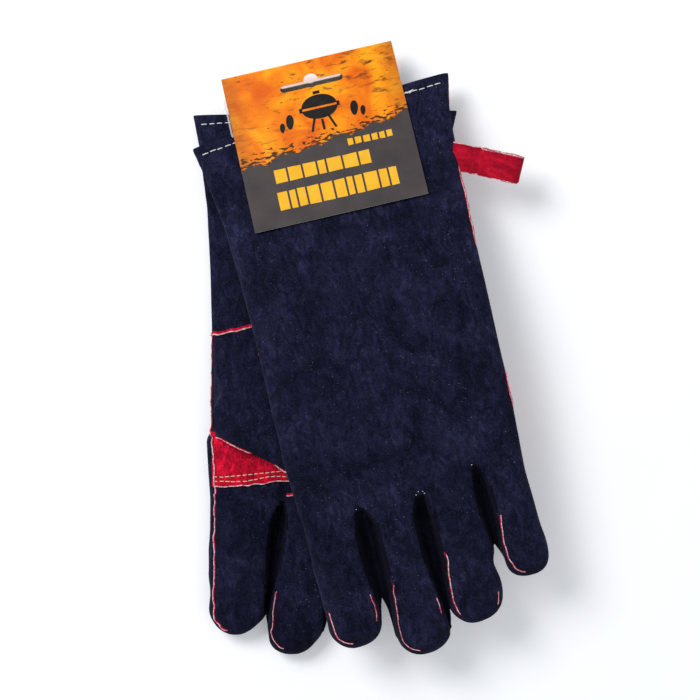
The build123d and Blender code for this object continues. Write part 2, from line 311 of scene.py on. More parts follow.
def wing_points():
    """Corners of the raised leather between wrist and thumb."""
    foot = [(-76.5, -142), (-46, -142), (-54, -181), (-69, -211), (-76.5, -210)]
    top = [(-75, -147, 18.9), (-47, -146, 19.6), (-36, -184, 27.6), (-36, -186, 20.8), (-52, -200, 29.2),
           (-68, -209, 26.8), (-75.8, -208, 20.5), (-74.5, -175, 20.3)]
    return [(x, y, 15.5) for x, y in foot] + top


def hull(points):
    bm = bmesh.new()
    for p in points:
        bm.verts.new(p)
    bmesh.ops.convex_hull(bm, input=bm.verts)
    loose = [v for v in bm.verts if not v.link_faces]
    bmesh.ops.delete(bm, geom=loose, context="VERTS")
    mesh = bpy.data.meshes.new("hull")
    bm.to_mesh(mesh)
    bm.free()
    return arrays(mesh)


def fused(parts, voxel, passes):
    """One smooth skin around several overlapping closed surfaces, in mm."""
    points, faces = [], []
    for part_points, part_faces in parts:
        shift = sum(len(p) for p in points)
        points.append(part_points)
        faces += [tuple(i + shift for i in face) for face in part_faces]
    obj = new_mesh("fused", np.concatenate(points) * MM, faces, [])
    remesh = obj.modifiers.new("remesh", "REMESH")
    remesh.mode = "VOXEL"
    remesh.voxel_size = voxel * MM
    soften = obj.modifiers.new("soften", "SMOOTH")
    soften.factor = 0.5
    soften.iterations = passes
    result = arrays(applied(obj).data)
    bpy.data.objects.remove(obj)
    return result[0] / MM, result[1]


def normals_of(points, faces):
    mesh = bpy.data.meshes.new("normals")
    mesh.from_pydata([tuple(p) for p in points], [], faces)
    out = np.zeros(len(mesh.vertices) * 3)
    mesh.vertices.foreach_get("normal", out)
    return out.reshape(-1, 3)


def fold_noise(points, size, seed):
    """Smooth noise between -1 and 1 with features of the given size in mm."""
    offset = Vector((seed * 17.3, seed * 5.1, seed * 9.7))
    return np.array([noise.noise(Vector(p) / size + offset) for p in points])


def close_webs(points, side):
    """Swells the fingers' inner sides until neighbours touch, down to where they part."""
    x, y = points[:, 0], points[:, 1]
    centres = np.array([finger_at(name, y, side)[0] for name in FINGERS])
    widths = np.array([finger_at(name, y, side)[1] for name in FINGERS])
    own = np.argmin(np.abs(centres - x), axis=0)
    column = np.arange(len(x))
    place = np.clip((x - centres[own, column]) / widths[own, column], -1, 1)
    moved = points.copy()
    for number in range(3):
        gap = web_at(number, y, side)[1]
        swell = smooth((KNUCKLE_Y + 4 - y) / 5) * (1 - smooth((WEB_OPEN_Y[side][number] - y) / 16))
        beside = ((own == number) & (place > 0)) | ((own == number + 1) & (place < 0))
        moved[:, 0] += beside * swell * np.sign(place) * place ** 2 * np.maximum(gap / 2 + 0.9, 0)
    return moved


def sink_valleys(points, side):
    """Lowers the face that looks up into rounded valleys between the fingers."""
    x, y, z = points.T
    moved = points.copy()
    for number in range(3):
        centre, width = valley_at(number, y, side)
        offset = np.abs(x - centre) / np.maximum(width, 0.01)
        depth = VALLEY_DEPTH[side] * smooth((VALLEYS[side][number][0] - y) / 12)
        depth = depth * smooth((1 - offset) / 0.62) * (width > 0)
        depth = depth * (1 - 0.2 * np.exp(-((x - centre - 0.9) / 1.3) ** 2))
        share = np.clip(z / HAND_HEIGHT, 0, 1)
        moved[:, 2] += depth * (1 - share) if side == "left" else -depth * share
    return moved


def wrinkle(points, faces, seed, side):
    """Soft undulations, creases that run up from the webs, and a crease across the wrist."""
    normal = normals_of(points, faces)
    x, y, z = points.T
    face_on = np.abs(normal[:, 2])
    broad = fold_noise(points * (1, 0.55, 0.3), 46, seed) * 1.3
    medium = fold_noise(points * (1, 0.6, 0.5), 15, seed + 3) * 0.42
    small = fold_noise(points, 6.5, seed + 7) * 0.13
    move = (broad + medium + small) * face_on
    for number in range(3):
        drift = web_at(number, y, side)[0] + 0.08 * (y - KNUCKLE_Y)
        rise = np.clip((y - KNUCKLE_Y + 4) / 44, 0, 1)
        strength = (1 - rise) ** 1.6 * smooth((y - KNUCKLE_Y + 6) / 6)
        move -= 1.8 * strength * np.exp(-((x - drift) / (4.0 + 8 * rise)) ** 2) * face_on
    free = smooth((KNUCKLE_Y - 12 - y) / 20)
    for number in range(3):
        near = np.exp(-((x - web_at(number, y, side)[0]) / 4) ** 4)
        free = free * (1 - near * (1 - smooth((WEB_OPEN_Y[side][number] - y) / 14)))
    move += free * (1 - face_on) * fold_noise(points * (1, 1, 0.3), 17, seed + 31) * 1.5
    across = np.exp(-((y - WRIST_Y - 3 + 4 * np.sin(x / 31 + seed)) / 7) ** 2)
    move -= 0.9 * across * face_on
    knuckles = (np.exp(-((y + 292 + 5 * np.sin(x / 9 + seed)) / 3.4) ** 2)
                + 0.7 * np.exp(-((y + 272 + 4 * np.sin(x / 11)) / 3) ** 2))
    move -= 0.55 * knuckles * face_on * (0.6 + 0.6 * fold_noise(points, 22, seed + 11))
    moved = points + normal * move[:, None]
    moved[:, 2] = np.maximum(moved[:, 2], 0.15)
    return moved


# ---- materials -----------------------------------------------------------------------
class Look:
    """A material's nodes. Patterns keep to the skin: they read the place kept in "rest"."""

    def __init__(self, name, kept_place=True):
        self.material = bpy.data.materials.new(name)
        self.material.use_nodes = True
        self.nodes = self.material.node_tree.nodes
        self.join = self.material.node_tree.links.new
        self.shader = self.nodes["Principled BSDF"]
        if kept_place:
            node = self.nodes.new("ShaderNodeAttribute")
            node.attribute_name = "rest"
            self.where = node.outputs["Vector"]
        else:
            self.where = self.nodes.new("ShaderNodeTexCoord").outputs["Object"]

    def feed(self, socket, value):
        if isinstance(value, bpy.types.NodeSocket):
            self.join(value, socket)
        else:
            socket.default_value = (*value, 1) if isinstance(value, tuple) else value

    def node(self, kind, where=None, **values):
        node = self.nodes.new("ShaderNode" + kind)
        if where is not None:
            self.join(where, node.inputs["Vector"])
        for name, value in values.items():
            node.inputs[name].default_value = value
        return node

    def noise(self, scale, detail=4.0, distortion=0.0, stretch=None):
        where = self.where
        if stretch:
            where = self.node("Mapping", where, Scale=stretch).outputs["Vector"]
        return self.node("TexNoise", where, Scale=scale, Detail=detail,
                         Distortion=distortion).outputs["Fac"]

    def wave(self, direction, scale, distortion):
        node = self.node("TexWave", self.where, Scale=scale, Distortion=distortion)
        node.bands_direction = direction
        return node.outputs["Fac"]

    def ramp(self, value, *stops):
        node = self.node("ValToRGB")
        elements = node.color_ramp.elements
        while len(elements) < len(stops):
            elements.new(0.5)
        for element, (position, colour) in zip(elements, stops):
            element.position = position
            element.color = (*colour, 1)
        self.join(value, node.inputs["Fac"])
        return node.outputs["Color"]

    def mask(self, value, low, high):
        """Black below low, white above high."""
        return self.ramp(value, (low, (0, 0, 0)), (high, (1, 1, 1)))

    def mix(self, factor, a, b, kind="MIX"):
        node = self.node("Mix")
        node.data_type = "RGBA"
        node.blend_type = kind
        for number, value in ((0, factor), (6, a), (7, b)):
            self.feed(node.inputs[number], value)
        return node.outputs[2]

    def math(self, kind, a, b=0.0):
        node = self.node("Math")
        node.operation = kind
        self.feed(node.inputs[0], a)
        self.feed(node.inputs[1], b)
        return node.outputs[0]

    def bump(self, height, strength, distance):
        node = self.node("Bump", Strength=strength, Distance=distance)
        self.join(height, node.inputs["Height"])
        self.join(node.outputs["Normal"], self.shader.inputs["Normal"])

    def made(self, colour, bump=None, **values):
        """The finished material: its colour, its bump, and plain values for the shader."""
        self.feed(self.shader.inputs["Base Color"], colour)
        for name, value in values.items():
            self.feed(self.shader.inputs[name.replace("_", " ")], value)
        if bump:
            self.bump(*bump)
        return self.material


def suede(name, dark, light, fuzz, speckle, sheen, tint, lint=(0.36, 0.38, 0.44), brush=0.8):
    """Napped leather: brushed patches, fine fibres and a few specks of lint."""
    look = Look(name)
    colour = look.ramp(look.noise(34, 6, 0.8), (0.36, dark), (0.64, light))
    tone = look.ramp(look.noise(190, 7, 1.4, stretch=(1, 0.5, 1)), (0.34, (0.35, 0.35, 0.4)),
                     (0.52, (1, 1, 1)), (0.7, (2.1, 2.05, 1.9)))
    colour = look.mix(brush, colour, tone, "MULTIPLY")
    nap = look.ramp(look.noise(720, 4), (0.34, (0.45, 0.45, 0.45)), (0.66, (1.6, 1.6, 1.6)))
    colour = look.mix(speckle, colour, nap, "MULTIPLY")
    fibres = look.noise(1900, 3)
    colour = look.mix(look.math("MULTIPLY", look.mask(fibres, 0.50, 0.80), 0.42), colour, fuzz)
    crowd = look.ramp(look.noise(22, 4), (0.42, (0.15, 0.15, 0.15)), (0.7, (1, 1, 1)))
    bent = look.noise(900, 2)
    for scale, radius, strength in ((150, 0.032, 0.8), (360, 0.075, 0.5)):
        cells = look.node("TexVoronoi", look.where, Scale=scale).outputs["Distance"]
        ragged = look.math("MULTIPLY", cells, look.math("ADD", bent, 0.5))
        speck = look.math("MULTIPLY", look.math("LESS_THAN", ragged, radius), crowd)
        colour = look.mix(look.math("MULTIPLY", speck, strength), colour, lint)
    grain = look.mix(0.5, look.noise(650, 6), fibres)
    return look.made(colour, (grain, 0.6, 0.0006), Roughness=0.95, Specular_IOR_Level=0.06,
                     Sheen_Weight=sheen, Sheen_Roughness=0.5, Sheen_Tint=tint)


def raw_edge(name, low, high):
    """The cut edge of leather: pale, fibrous and uneven."""
    look = Look(name)
    return look.made(look.ramp(look.noise(420, 5, 0.8), (0.35, low), (0.62, high)),
                     (look.noise(1500, 4), 0.5, 0.0004), Roughness=0.95)


def thread(name, colour):
    """Twisted sewing thread."""
    look = Look(name)
    twist = look.wave("DIAGONAL", 900, 1.5)
    shade = tuple(c * 0.72 for c in colour)
    return look.made(look.ramp(twist, (0.1, shade), (0.6, colour)), (twist, 0.5, 0.0002), Roughness=0.7)


def cotton(name):
    """Brushed cotton lining with a plain weave."""
    look = Look(name)
    colour = look.ramp(look.noise(90, 5), (0.3, (0.50, 0.47, 0.40)), (0.7, (0.72, 0.69, 0.61)))
    weave = look.math("ADD", look.wave("X", 260, 0.6), look.wave("Y", 260, 0.6))
    return look.made(colour, (weave, 0.4, 0.0004), Roughness=0.95, Sheen_Weight=0.25)


BLACK = suede("black_suede", (0.0034, 0.0038, 0.0135), (0.0108, 0.0118, 0.0345),
              (0.034, 0.036, 0.068), 0.65, 0.05, (0.55, 0.58, 0.85))
# A darker copy of the black suede for the valley walls between the fingers: the darkness is painted
# shade, where shade falls between them.
VALLEY_SHADE_SUEDE = suede("black_suede_painted_valley_shade", (0.0012, 0.0013, 0.0045), (0.0032, 0.0034, 0.0100),
              (0.012, 0.013, 0.026), 0.6, 0.03, (0.5, 0.52, 0.8), lint=(0.03, 0.032, 0.045))
RED = suede("red_suede", (0.40, 0.0022, 0.0200), (0.60, 0.0050, 0.0340),
            (0.74, 0.05, 0.085), 0.7, 0.03, (1.0, 0.3, 0.4), brush=0.55)
LOOP_RED = suede("loop_suede", (0.375, 0.0045, 0.0205), (0.405, 0.0055, 0.0235),
                 (0.44, 0.012, 0.034), 0.25, 0.02, (1.0, 0.3, 0.4), brush=0.45)
PALE = raw_edge("raw_edge_pink", (0.50, 0.07, 0.10), (0.84, 0.68, 0.68))
DARK_EDGE = raw_edge("raw_edge_dark", (0.03, 0.03, 0.036), (0.16, 0.15, 0.15))
WHITE_THREAD = thread("white_thread", (0.84, 0.83, 0.79))
YELLOW_THREAD = thread("yellow_thread", (0.88, 0.76, 0.48))
COTTON = cotton("cotton_lining")


# ---- gloves --------------------------------------------------------------------------
class Glove:
    """One glove's skin, and the helpers that lay details on it."""

    def __init__(self, side, seed):
        self.side = side
        self.random = random.Random(seed)
        parts = [loft(body_rings(side))] + [loft(finger_rings(name, side)) for name in FINGERS]
        points, faces = fused(parts, VOXEL, SKIN_PASSES)
        self.points = sink_valleys(wrinkle(close_webs(points, side), faces, seed, side), side)
        self.faces = faces
        self.bvh = BVHTree.FromPolygons([tuple(p) for p in self.points], faces)
        parts = [loft(thumb_rings()), hull(wing_points())]
        points, faces = fused(parts, THUMB_VOXEL, THUMB_PASSES)
        normal = normals_of(points, faces)
        move = fold_noise(points, 13, seed + 21) * 0.45 + fold_noise(points, 5, seed + 25) * 0.12
        self.thumb_points = points + normal * move[:, None]
        self.thumb_points[:, 0] = np.maximum(self.thumb_points[:, 0], THUMB_LEFT)
        self.thumb_faces = faces
        self.thumb_bvh = BVHTree.FromPolygons([tuple(p) for p in self.thumb_points], faces)

    def on_surface(self, x, y, palm):
        """The skin's place and normal straight above or below a point."""
        start, down = ((x, y, 80.0), (0, 0, -1)) if palm else ((x, y, -60.0), (0, 0, 1))
        place, normal, _, _ = self.bvh.ray_cast(Vector(start), Vector(down))
        return (None, None) if place is None else (np.array(place), np.array(normal))

    def nearest(self, point, thumb=False):
        place, normal, _, _ = (self.thumb_bvh if thumb else self.bvh).find_nearest(Vector(point))
        return np.array(place), np.array(normal)

    def piece(self, name, points, faces, materials, slots=None, body=None):
        """A finished piece from flat-frame points, laid in place."""
        if self.side == "left":
            faces = [tuple(face)[::-1] for face in faces]
        obj = new_mesh(f"{self.side}_{name}", lay(points, self.side), faces, materials, slots,
                       rest=np.array(points) * MM)
        if body:
            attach(obj, f"{self.side}_{body}")
        return obj


def skin_with_walls(glove):
    """The skin cut open at the hem and given the leather's thickness, with its lining inside."""
    obj = new_mesh("skin", glove.points * MM, glove.faces, [])
    bm = bmesh.new()
    bm.from_mesh(obj.data)
    bmesh.ops.bisect_plane(bm, geom=bm.verts[:] + bm.edges[:] + bm.faces[:], plane_co=(0, 0, 0),
                           plane_no=(0, 1, 0), clear_outer=True)
    bm.to_mesh(obj.data)
    bm.free()
    solid = obj.modifiers.new("walls", "SOLIDIFY")
    solid.thickness = LEATHER * MM
    solid.offset = -1
    solid.material_offset = 1
    solid.material_offset_rim = 2
    for material in (BLACK, COTTON, DARK_EDGE):
        obj.data.materials.append(material)
    mesh = applied(obj).data
    points, faces = arrays(mesh)
    slots = np.zeros(len(mesh.polygons), np.int32)
    mesh.polygons.foreach_get("material_index", slots)
    bpy.data.objects.remove(obj)
    return points / MM, faces, slots


def section_of(face_points, side):
    """Which piece of the skin a face belongs to."""
    x, y = face_points[:, 0].mean(), face_points[:, 1].mean()
    if y > CUFF_CUT:
        return "cuff"
    if y > FINGER_CUT:
        return "hand"
    return FINGERS[sum(x > web_at(number, y, side)[0] for number in range(3))]


# The CAD nodes that each piece of the skin stands for.
REPLACED = {"cuff": ["cuff_back", "cuff_palm", "cuff_lining"],
            "hand": ["hand_back", "palm", "hand_lining"]}
REPLACED.update({name: [f"{name}_{part}" for part in ("back", "fourchette", "front", "lining")]
                 for name in FINGERS})


def dress(glove):
    """Cuts the skin into pieces by section, with shading that runs across the cuts."""
    points, faces, slots = skin_with_walls(glove)
    middles = np.array([points[list(face)].mean(axis=0) for face in faces])
    slots[(slots == 1) & (middles[:, 1] < CUFF_CUT)] = 0
    # Faces deep in the valleys between the fingers take the darker suede in slot 3: painted shade.
    for number in range(3):
        centre, width = valley_at(number, middles[:, 1], glove.side)
        slots[(slots == 0) & (np.abs(middles[:, 0] - centre) < 0.9 * width)] = 3
    laid = lay(points, glove.side)
    flip = glove.side == "left"
    normal = normals_of(laid, [face[::-1] for face in faces] if flip else faces)
    owner = np.array([section_of(points[list(face)], glove.side) for face in faces])
    for section, nodes in REPLACED.items():
        chosen = [face for face, own in zip(faces, owner) if own == section]
        used = np.unique(np.concatenate([np.array(face) for face in chosen]))
        place = {old: new for new, old in enumerate(used)}
        local = [tuple(place[i] for i in face) for face in chosen]
        obj = glove.piece(f"{section}_skin", points[used], local, [BLACK, COTTON, DARK_EDGE, VALLEY_SHADE_SUEDE],
                          slots[owner == section])
        obj.data.normals_split_custom_set_from_vertices([tuple(n) for n in normal[used]])
        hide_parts(*[f"{glove.side}_{node}" for node in nodes])
        follow(obj, glove.side, section)


def follow(obj, side, section):
    """Attaches a hand piece to the hand's body, and bakes the other pieces where they lie."""
    if section == "cuff":
        start, end = WRIST_Y + WRIST_BLEND, WRIST_Y - WRIST_BLEND
        lay_point(0, start, HAND_HEIGHT, side)
        lay_point(0, end, HAND_HEIGHT, side)
        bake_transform(obj)
    elif section == "hand":
        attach(obj, f"{side}_hand")
    elif section == "thumb":
        along, _ = thumb_axis()
        ends = [np.array([*THUMB_BASE, HAND_HEIGHT]) + along * s for s in (-7, 13)]
        lay_point(*ends[0], side)
        lay_point(*ends[1], side)
        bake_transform(obj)
    else:
        x = FINGER_PLACES["left"][section][0]
        lay_point(x, KNUCKLE_Y + 4, HAND_HEIGHT, side)
        lay_point(x, KNUCKLE_Y - 24, HAND_HEIGHT, side)
        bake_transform(obj)


def thumb_piece(glove):
    obj = glove.piece("thumb_skin", glove.thumb_points, glove.thumb_faces, [BLACK])
    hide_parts(*[f"{glove.side}_{node}"
                       for node in ("thumb_wing", "thumb_back", "thumb_front", "thumb_lining")])
    follow(obj, glove.side, "thumb")


# ---- seams ---------------------------------------------------------------------------
def resample(path, step):
    """Evenly spaced points along a path."""
    path = np.array(path, float)
    lengths = np.concatenate([[0], np.cumsum(np.linalg.norm(np.diff(path, axis=0), axis=1))])
    count = max(2, int(lengths[-1] / step) + 1)
    stops = np.linspace(0, lengths[-1], count)
    return np.stack([np.interp(stops, lengths, path[:, i]) for i in range(path.shape[1])], axis=1)


def sideways(places, normals):
    """Unit vectors across a path that runs on a skin."""
    side = np.cross(np.gradient(places, axis=0), normals)
    return side / (np.linalg.norm(side, axis=1)[:, None] + 1e-9)


# How far the foot of a welt lies under the skin.
WELT_FOOT = 0.6


def ribbon(places, normals, width, heights, red, lean):
    """A folded strip that stands on the skin: its pale cut edge, and the red face beside that."""
    side = sideways(places, normals) * lean
    half = width / 2
    # Each corner of the strip's section: its place across, its foot, and its share of the height.
    section = [(-half - red, -WELT_FOOT, 0), (-half - red, 0, 0.35), (-half, 0, 0.6),
               (-half * 0.8, 0, 1), (half * 0.8, 0, 1), (half, 0, 0.6), (half, -WELT_FOOT, 0)]
    points, faces = loft([[p + s * across + n * (base + h * share) for across, base, share in section]
                          for p, n, s, h in zip(places, normals, side, heights)])
    pale = [0, 0, 1, 1, 1, 0, 0]
    slots = pale * (len(places) - 1) + [0, 0]
    return points, faces if lean > 0 else [face[::-1] for face in faces], slots


class Pile:
    """Collects small meshes into one piece."""

    def __init__(self):
        self.points, self.faces, self.slots, self.count = [], [], [], 0

    def add(self, points, faces, slots=None):
        self.points.append(np.array(points))
        self.faces += [tuple(i + self.count for i in face) for face in faces]
        self.slots += list(slots if slots is not None else [0] * len(faces))
        self.count += len(points)

    def made(self, glove, name, materials, slot, body=None):
        obj = glove.piece(name, np.concatenate(self.points), self.faces, materials, self.slots, body)
        return obj

    def welts(self, glove, name, section):
        """The pile as a piece of red welt for a section of the glove."""
        obj = self.made(glove, name, [RED, PALE], "red_suede")
        follow(obj, glove.side, section)
        return obj


def capsule(a, b, normal, radius):
    """A stitch from a to b, rounded at its ends and bowed a little off the leather."""
    a, b, normal = np.array(a), np.array(b), np.array(normal)
    along = b - a
    length = np.linalg.norm(along) + 1e-9
    along /= length
    side = np.cross(along, normal)
    side /= np.linalg.norm(side) + 1e-9
    lift = np.cross(side, along)
    angle = np.linspace(0, 2 * math.pi, 8, endpoint=False)
    around = np.outer(np.cos(angle), side) + 0.75 * np.outer(np.sin(angle), lift)
    rings = []
    for t, r in ((0.0, 0.35), (0.1, 0.85), (0.3, 1.0), (0.5, 1.05), (0.7, 1.0), (0.9, 0.85),
                 (1.0, 0.35)):
        centre = a + along * length * t + lift * radius * (0.9 * math.sin(math.pi * t) - 0.15)
        rings.append(centre + radius * r * around)
    return loft(rings)


def stitches(glove, pile, path, palm, pitch, length, radius, lift=0.0, jitter=0.25):
    """A running stitch along a path of (x, y), laid on one face of the skin."""
    for start in resample(path, pitch)[:-1]:
        index = np.argmin(np.linalg.norm(np.array(path)[:, :2] - start[:2], axis=1))
        near = np.array(path)[min(index + 1, len(path) - 1)] - np.array(path)[max(index - 1, 0)]
        along = near[:2] / (np.linalg.norm(near[:2]) + 1e-9)
        shift = np.array([glove.random.uniform(-jitter, jitter), glove.random.uniform(-jitter, jitter)])
        ends = [start[:2] + shift, start[:2] + shift + along * length * glove.random.uniform(0.9, 1.08)]
        hits = [glove.on_surface(*end, palm) for end in ends]
        if hits[0][0] is None or hits[1][0] is None:
            continue
        normal = hits[0][1]
        pile.add(*capsule(hits[0][0] + normal * lift, hits[1][0] + normal * lift, normal, radius))


HEM_STITCH_Y = -6.0
HEM_STITCH_MARGIN = 4.5
KNOT_X = {"left": 48.0, "right": -34.0}


def hem_stitches(glove):
    """A row of stitches round the hem, and the knot where the thread ends."""
    left = side_x(HEM_STITCH_Y, THUMB_SIDE) + HEM_STITCH_MARGIN
    right = side_x(HEM_STITCH_Y, LITTLE_SIDE) - HEM_STITCH_MARGIN
    path = [(x, HEM_STITCH_Y + 0.4 * math.sin(x / 12)) for x in np.linspace(left, right, 60)]
    pile = Pile()
    for palm in (True, False):
        stitches(glove, pile, path, palm, 5.0, 4.0, 0.33)
    for k in range(7):
        x = KNOT_X[glove.side] + 1.4 * k
        tilt = glove.random.uniform(-0.9, 0.9)
        a, n = glove.on_surface(x, -6.2 + tilt, False)
        b, _ = glove.on_surface(x + 3.0, -6.0 - tilt, False)
        pile.add(*capsule(a - n * 0.1 + n * 0.25 * k / 7, b + n * 0.3, n, 0.45))
    pile.made(glove, "hem_stitches", [WHITE_THREAD], "cotton_lining", "cuff")


WHOLE = [(-0.1, 1.1)]


def edge_welt(glove, path, spans, height, seed, thumb=False, width=0.75, tall=0.0, red=0.8,
              lean=1, lift=0.0, between=-0.4):
    """A welt along a path on the skin: up in the given spans, and low or left out between them."""
    places, normals = [], []
    path = resample(path, 1.0)
    for point, raised in zip(path, np.broadcast_to(lift, len(path))):
        place, normal = glove.nearest(point, thumb)
        places.append(place + normal * raised)
        normals.append(normal)
    places, normals = np.array(places), np.array(normals)
    for _ in range(4):
        normals[1:-1] = (normals[:-2] + normals[1:-1] * 2 + normals[2:]) / 4
        places[1:-1] = (places[:-2] + places[1:-1] * 2 + places[2:]) / 4
    share = np.linspace(0, 1, len(places))
    shown = sum(np.clip(np.minimum(share - low, high - share) / 0.05, 0, 1) for low, high in spans)
    wave, slow = (np.array([noise.noise(Vector((i * rate, seed * offset, level)))
                            for i in range(len(places))])
                  for rate, offset, level in ((0.21, 3.7, 0.5), (0.06, 1.9, 4.5)))
    fray = np.array([glove.random.uniform(-0.12, 0.12) for _ in places])
    heights = (height * (0.8 + 0.9 * wave) + fray + tall) * shown + between * (1 - shown)
    places = places + sideways(places, normals) * (0.7 * wave + 0.8 * slow)[:, None]
    pile = Pile()
    for low, high in spans if between < 0 else WHOLE:
        seen = np.flatnonzero((share >= low) & (share <= high))
        if len(seen) > 3:
            run = slice(seen[0], seen[-1] + 1)
            pile.add(*ribbon(places[run], normals[run], width, heights[run], red, lean))
    return np.concatenate(pile.points), pile.faces, pile.slots


def seam_x(glove, name, side, y, inset, up):
    """x of a finger's seam: at a valley's edge, or a little inside the finger's outline."""
    number = FINGERS.index(name) - (side < 0)
    x, half = finger_at(name, y, glove.side)
    outline = x + side * (half - inset)
    if not up or not 0 <= number < 3:
        return outline
    centre, width = valley_at(number, y, glove.side)
    edge = centre - side * (width + 0.6)
    return min(edge, outline) if side > 0 else max(edge, outline)


def finger_edge(glove, name, side, inset, first, up):
    """Along one side of a finger and round towards its tip, on one face of it."""
    tip_y, tip_width = FINGER_PLACES[glove.side][name][4], FINGER_PLACES[glove.side][name][3]
    z = 0.0 if (glove.side == "left") == up else HAND_HEIGHT
    rounding = 0.5 * tip_width
    path = [(seam_x(glove, name, side, y, inset, up), y, z)
            for y in np.linspace(first, tip_y + rounding, 22)]
    x, half = finger_at(name, tip_y, glove.side)
    for angle in np.linspace(0.15, 1.25, 8):
        path.append((x + side * (half - inset) * math.cos(angle),
                     tip_y + rounding - (rounding - inset) * math.sin(angle), z))
    return path


# Where each finger's seams show on the face that looks up: which side, and the spans along it.
UP_SPANS = {
    "left": {"index": [(-1, [(0.62, 1.1)]), (1, [(0.55, 0.83)])],
             "middle": [(-1, [(0.45, 1.05)]), (1, [(0.6, 0.76)])],
             "ring": [(-1, [(0.38, 0.92)]), (1, [(0.76, 0.9)])], "little": [(-1, [(0.28, 1.1)])]},
    "right": {"index": [(-1, WHOLE)], "middle": [(-1, [(0.52, 1.05)])],
              "ring": [(-1, [(0.4, 0.9)])], "little": [(-1, [(0.3, 0.9)]), (1, [(0.2, 0.8)])]},
}
DOWN_SPANS = {"index": [(-1, [(0.2, 0.8)])], "middle": [(-1, [(0.3, 0.7)]), (1, [(0.5, 0.9)])],
              "ring": [(1, [(0.4, 0.8)])], "little": [(1, [(0.3, 0.9)])]}
SEAM_INSET = 2.4
SIDE_INSET = 1.6
# Along the little finger's side the welt stands out in one span. Elsewhere it lies lower, on the
# half of the glove that faces the other one.
OUTER_SPANS = {"cuff": (0.35, 0.66), "hand": (0.3, 0.6)}
OUTER_AWAY = {"left": 7.5, "right": -3.4}
INNER_SPANS = {"cuff": [(0.84, 1.0)], "hand": WHOLE}
INNER_Z = {"left": 17.0, "right": 12.5}
CORNER_Y = -204.0


def finger_welts(glove):
    """Red welts with pale cut edges in the seams of the fingers."""
    for number, name in enumerate(FINGERS):
        pile = Pile()
        for spans_of, up in ((UP_SPANS[glove.side], True), (DOWN_SPANS, False)):
            for side, spans in spans_of[name]:
                edge = up and glove.side == "right" and (name, side) == ("index", -1)
                first = KNUCKLE_Y + 6 if edge else KNUCKLE_Y - 4
                inset = SIDE_INSET if edge else SEAM_INSET
                path = finger_edge(glove, name, side, inset, first, up)
                height, width = (0.6, 0.55) if name != "middle" and side < 0 else (0.4, 0.4)
                pile.add(*edge_welt(glove, path, spans, height, number * 7 + side, lean=-side,
                                    width=width, red=0.55 if name != "middle" else 0.35))
        pile.welts(glove, f"{name}_welts", name)


def side_welts(glove):
    """The welts along the glove's two sides."""
    for section, first, last in (("cuff", -3.0, CUFF_CUT), ("hand", CUFF_CUT, KNUCKLE_Y + 6)):
        pile = Pile()
        heights = np.linspace(first, last, 24)
        middle = [(height_low(y) + height_high(y)) / 2 for y in heights]
        low, high = OUTER_SPANS[section]
        share = np.linspace(0, 1, len(heights))
        away = 1 - np.clip(1 + np.minimum(share - low, high - share) / 0.06, 0, 1)
        away = away * OUTER_AWAY[glove.side]
        outer = [(side_x(y, LITTLE_SIDE) + 2, y, z - 3.5 + a)
                 for y, z, a in zip(heights, middle, away)]
        pile.add(*edge_welt(glove, outer, [(low, high)], 0.7, 91, width=0.6, red=1.6, lean=-1,
                            between=0.14))
        inner = []
        for y in np.linspace(first, last, 60):
            below = smooth((CORNER_Y - y) / 5)
            side_z = INNER_Z[glove.side]
            inner.append((outer_x(y, glove.side) + below * 3.4 - (1 - below) * 2, y,
                          side_z + below * (HAND_HEIGHT + 1 - side_z)))
        raised = [PATCH_THICK * smooth((CORNER_Y - y) / 5) * smooth((y + 243) / 4)
                  for _, y, _ in resample(inner, 1.0)]
        pile.add(*edge_welt(glove, inner, INNER_SPANS[section], 0.5, 93, width=0.7, red=0.45,
                            tall=0.15, lift=raised))
        pile.welts(glove, f"{section}_welts", section)


def wrist_welt(glove):
    """The welt that joins the palm and the gauntlet."""
    pile = Pile()
    left, right = side_x(WRIST_Y, THUMB_SIDE) + 0.2, side_x(WRIST_Y, LITTLE_SIDE) - 2
    path = [(x, WRIST_Y - 3.5 + 6.0 * smooth((x - left) / 45) - 4 * smooth((x - 10) / 60),
             HAND_HEIGHT + 2) for x in np.linspace(left, right, 30)]
    path = [(left - 2, WRIST_Y - 4.2, 12.0)] + path
    pile.add(*edge_welt(glove, path, WHOLE, 0.5, 57, width=0.9, tall=0.4, red=1.5))
    obj = pile.welts(glove, "wrist_welt_piece", "cuff")
    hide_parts(f"{glove.side}_wrist_welt")


def web_stitches(glove):
    """The white stitches that close the webs between fingers, most of them at the middle web."""
    pile = Pile()
    for number in range(3):
        web, top = web_at(number, KNUCKLE_Y, glove.side)[0], VALLEYS[glove.side][number][0]
        for palm in (True, False):
            for k in range(5 if number == 1 else 1):
                x = web + 1.3 * (k - 1.5) + glove.random.uniform(-0.4, 0.4)
                y = top + 0.6 + glove.random.uniform(-0.8, 0.8) - 0.5 * abs(k - 1.5)
                a, normal = glove.on_surface(x, y, palm)
                b, _ = glove.on_surface(x + 0.7, y + glove.random.uniform(-0.6, 0.6), palm)
                if a is not None and b is not None:
                    pile.add(*capsule(a, b, normal, 0.2))
    pile.made(glove, "web_stitches", [WHITE_THREAD], "cotton_lining", "hand")


# ---- palm reinforcement --------------------------------------------------------------
PATCH_LOW_Y = -240.0
PATCH_TOP_Y = -205.0
PATCH_MIDDLE_Y = -225.0
PATCH_THICK = 1.1
KNUCKLE_SEAM_Y = -247.6


def patch_low(x):
    """The reinforcement's lower edge, which rises a little towards the middle of the palm."""
    return PATCH_LOW_Y + 2.6 * smooth((x + 62) / 40) + 0.5 * math.sin(x / 9)


def patch_top(x):
    return PATCH_TOP_Y + 15 * smooth((x - 5) / 30)


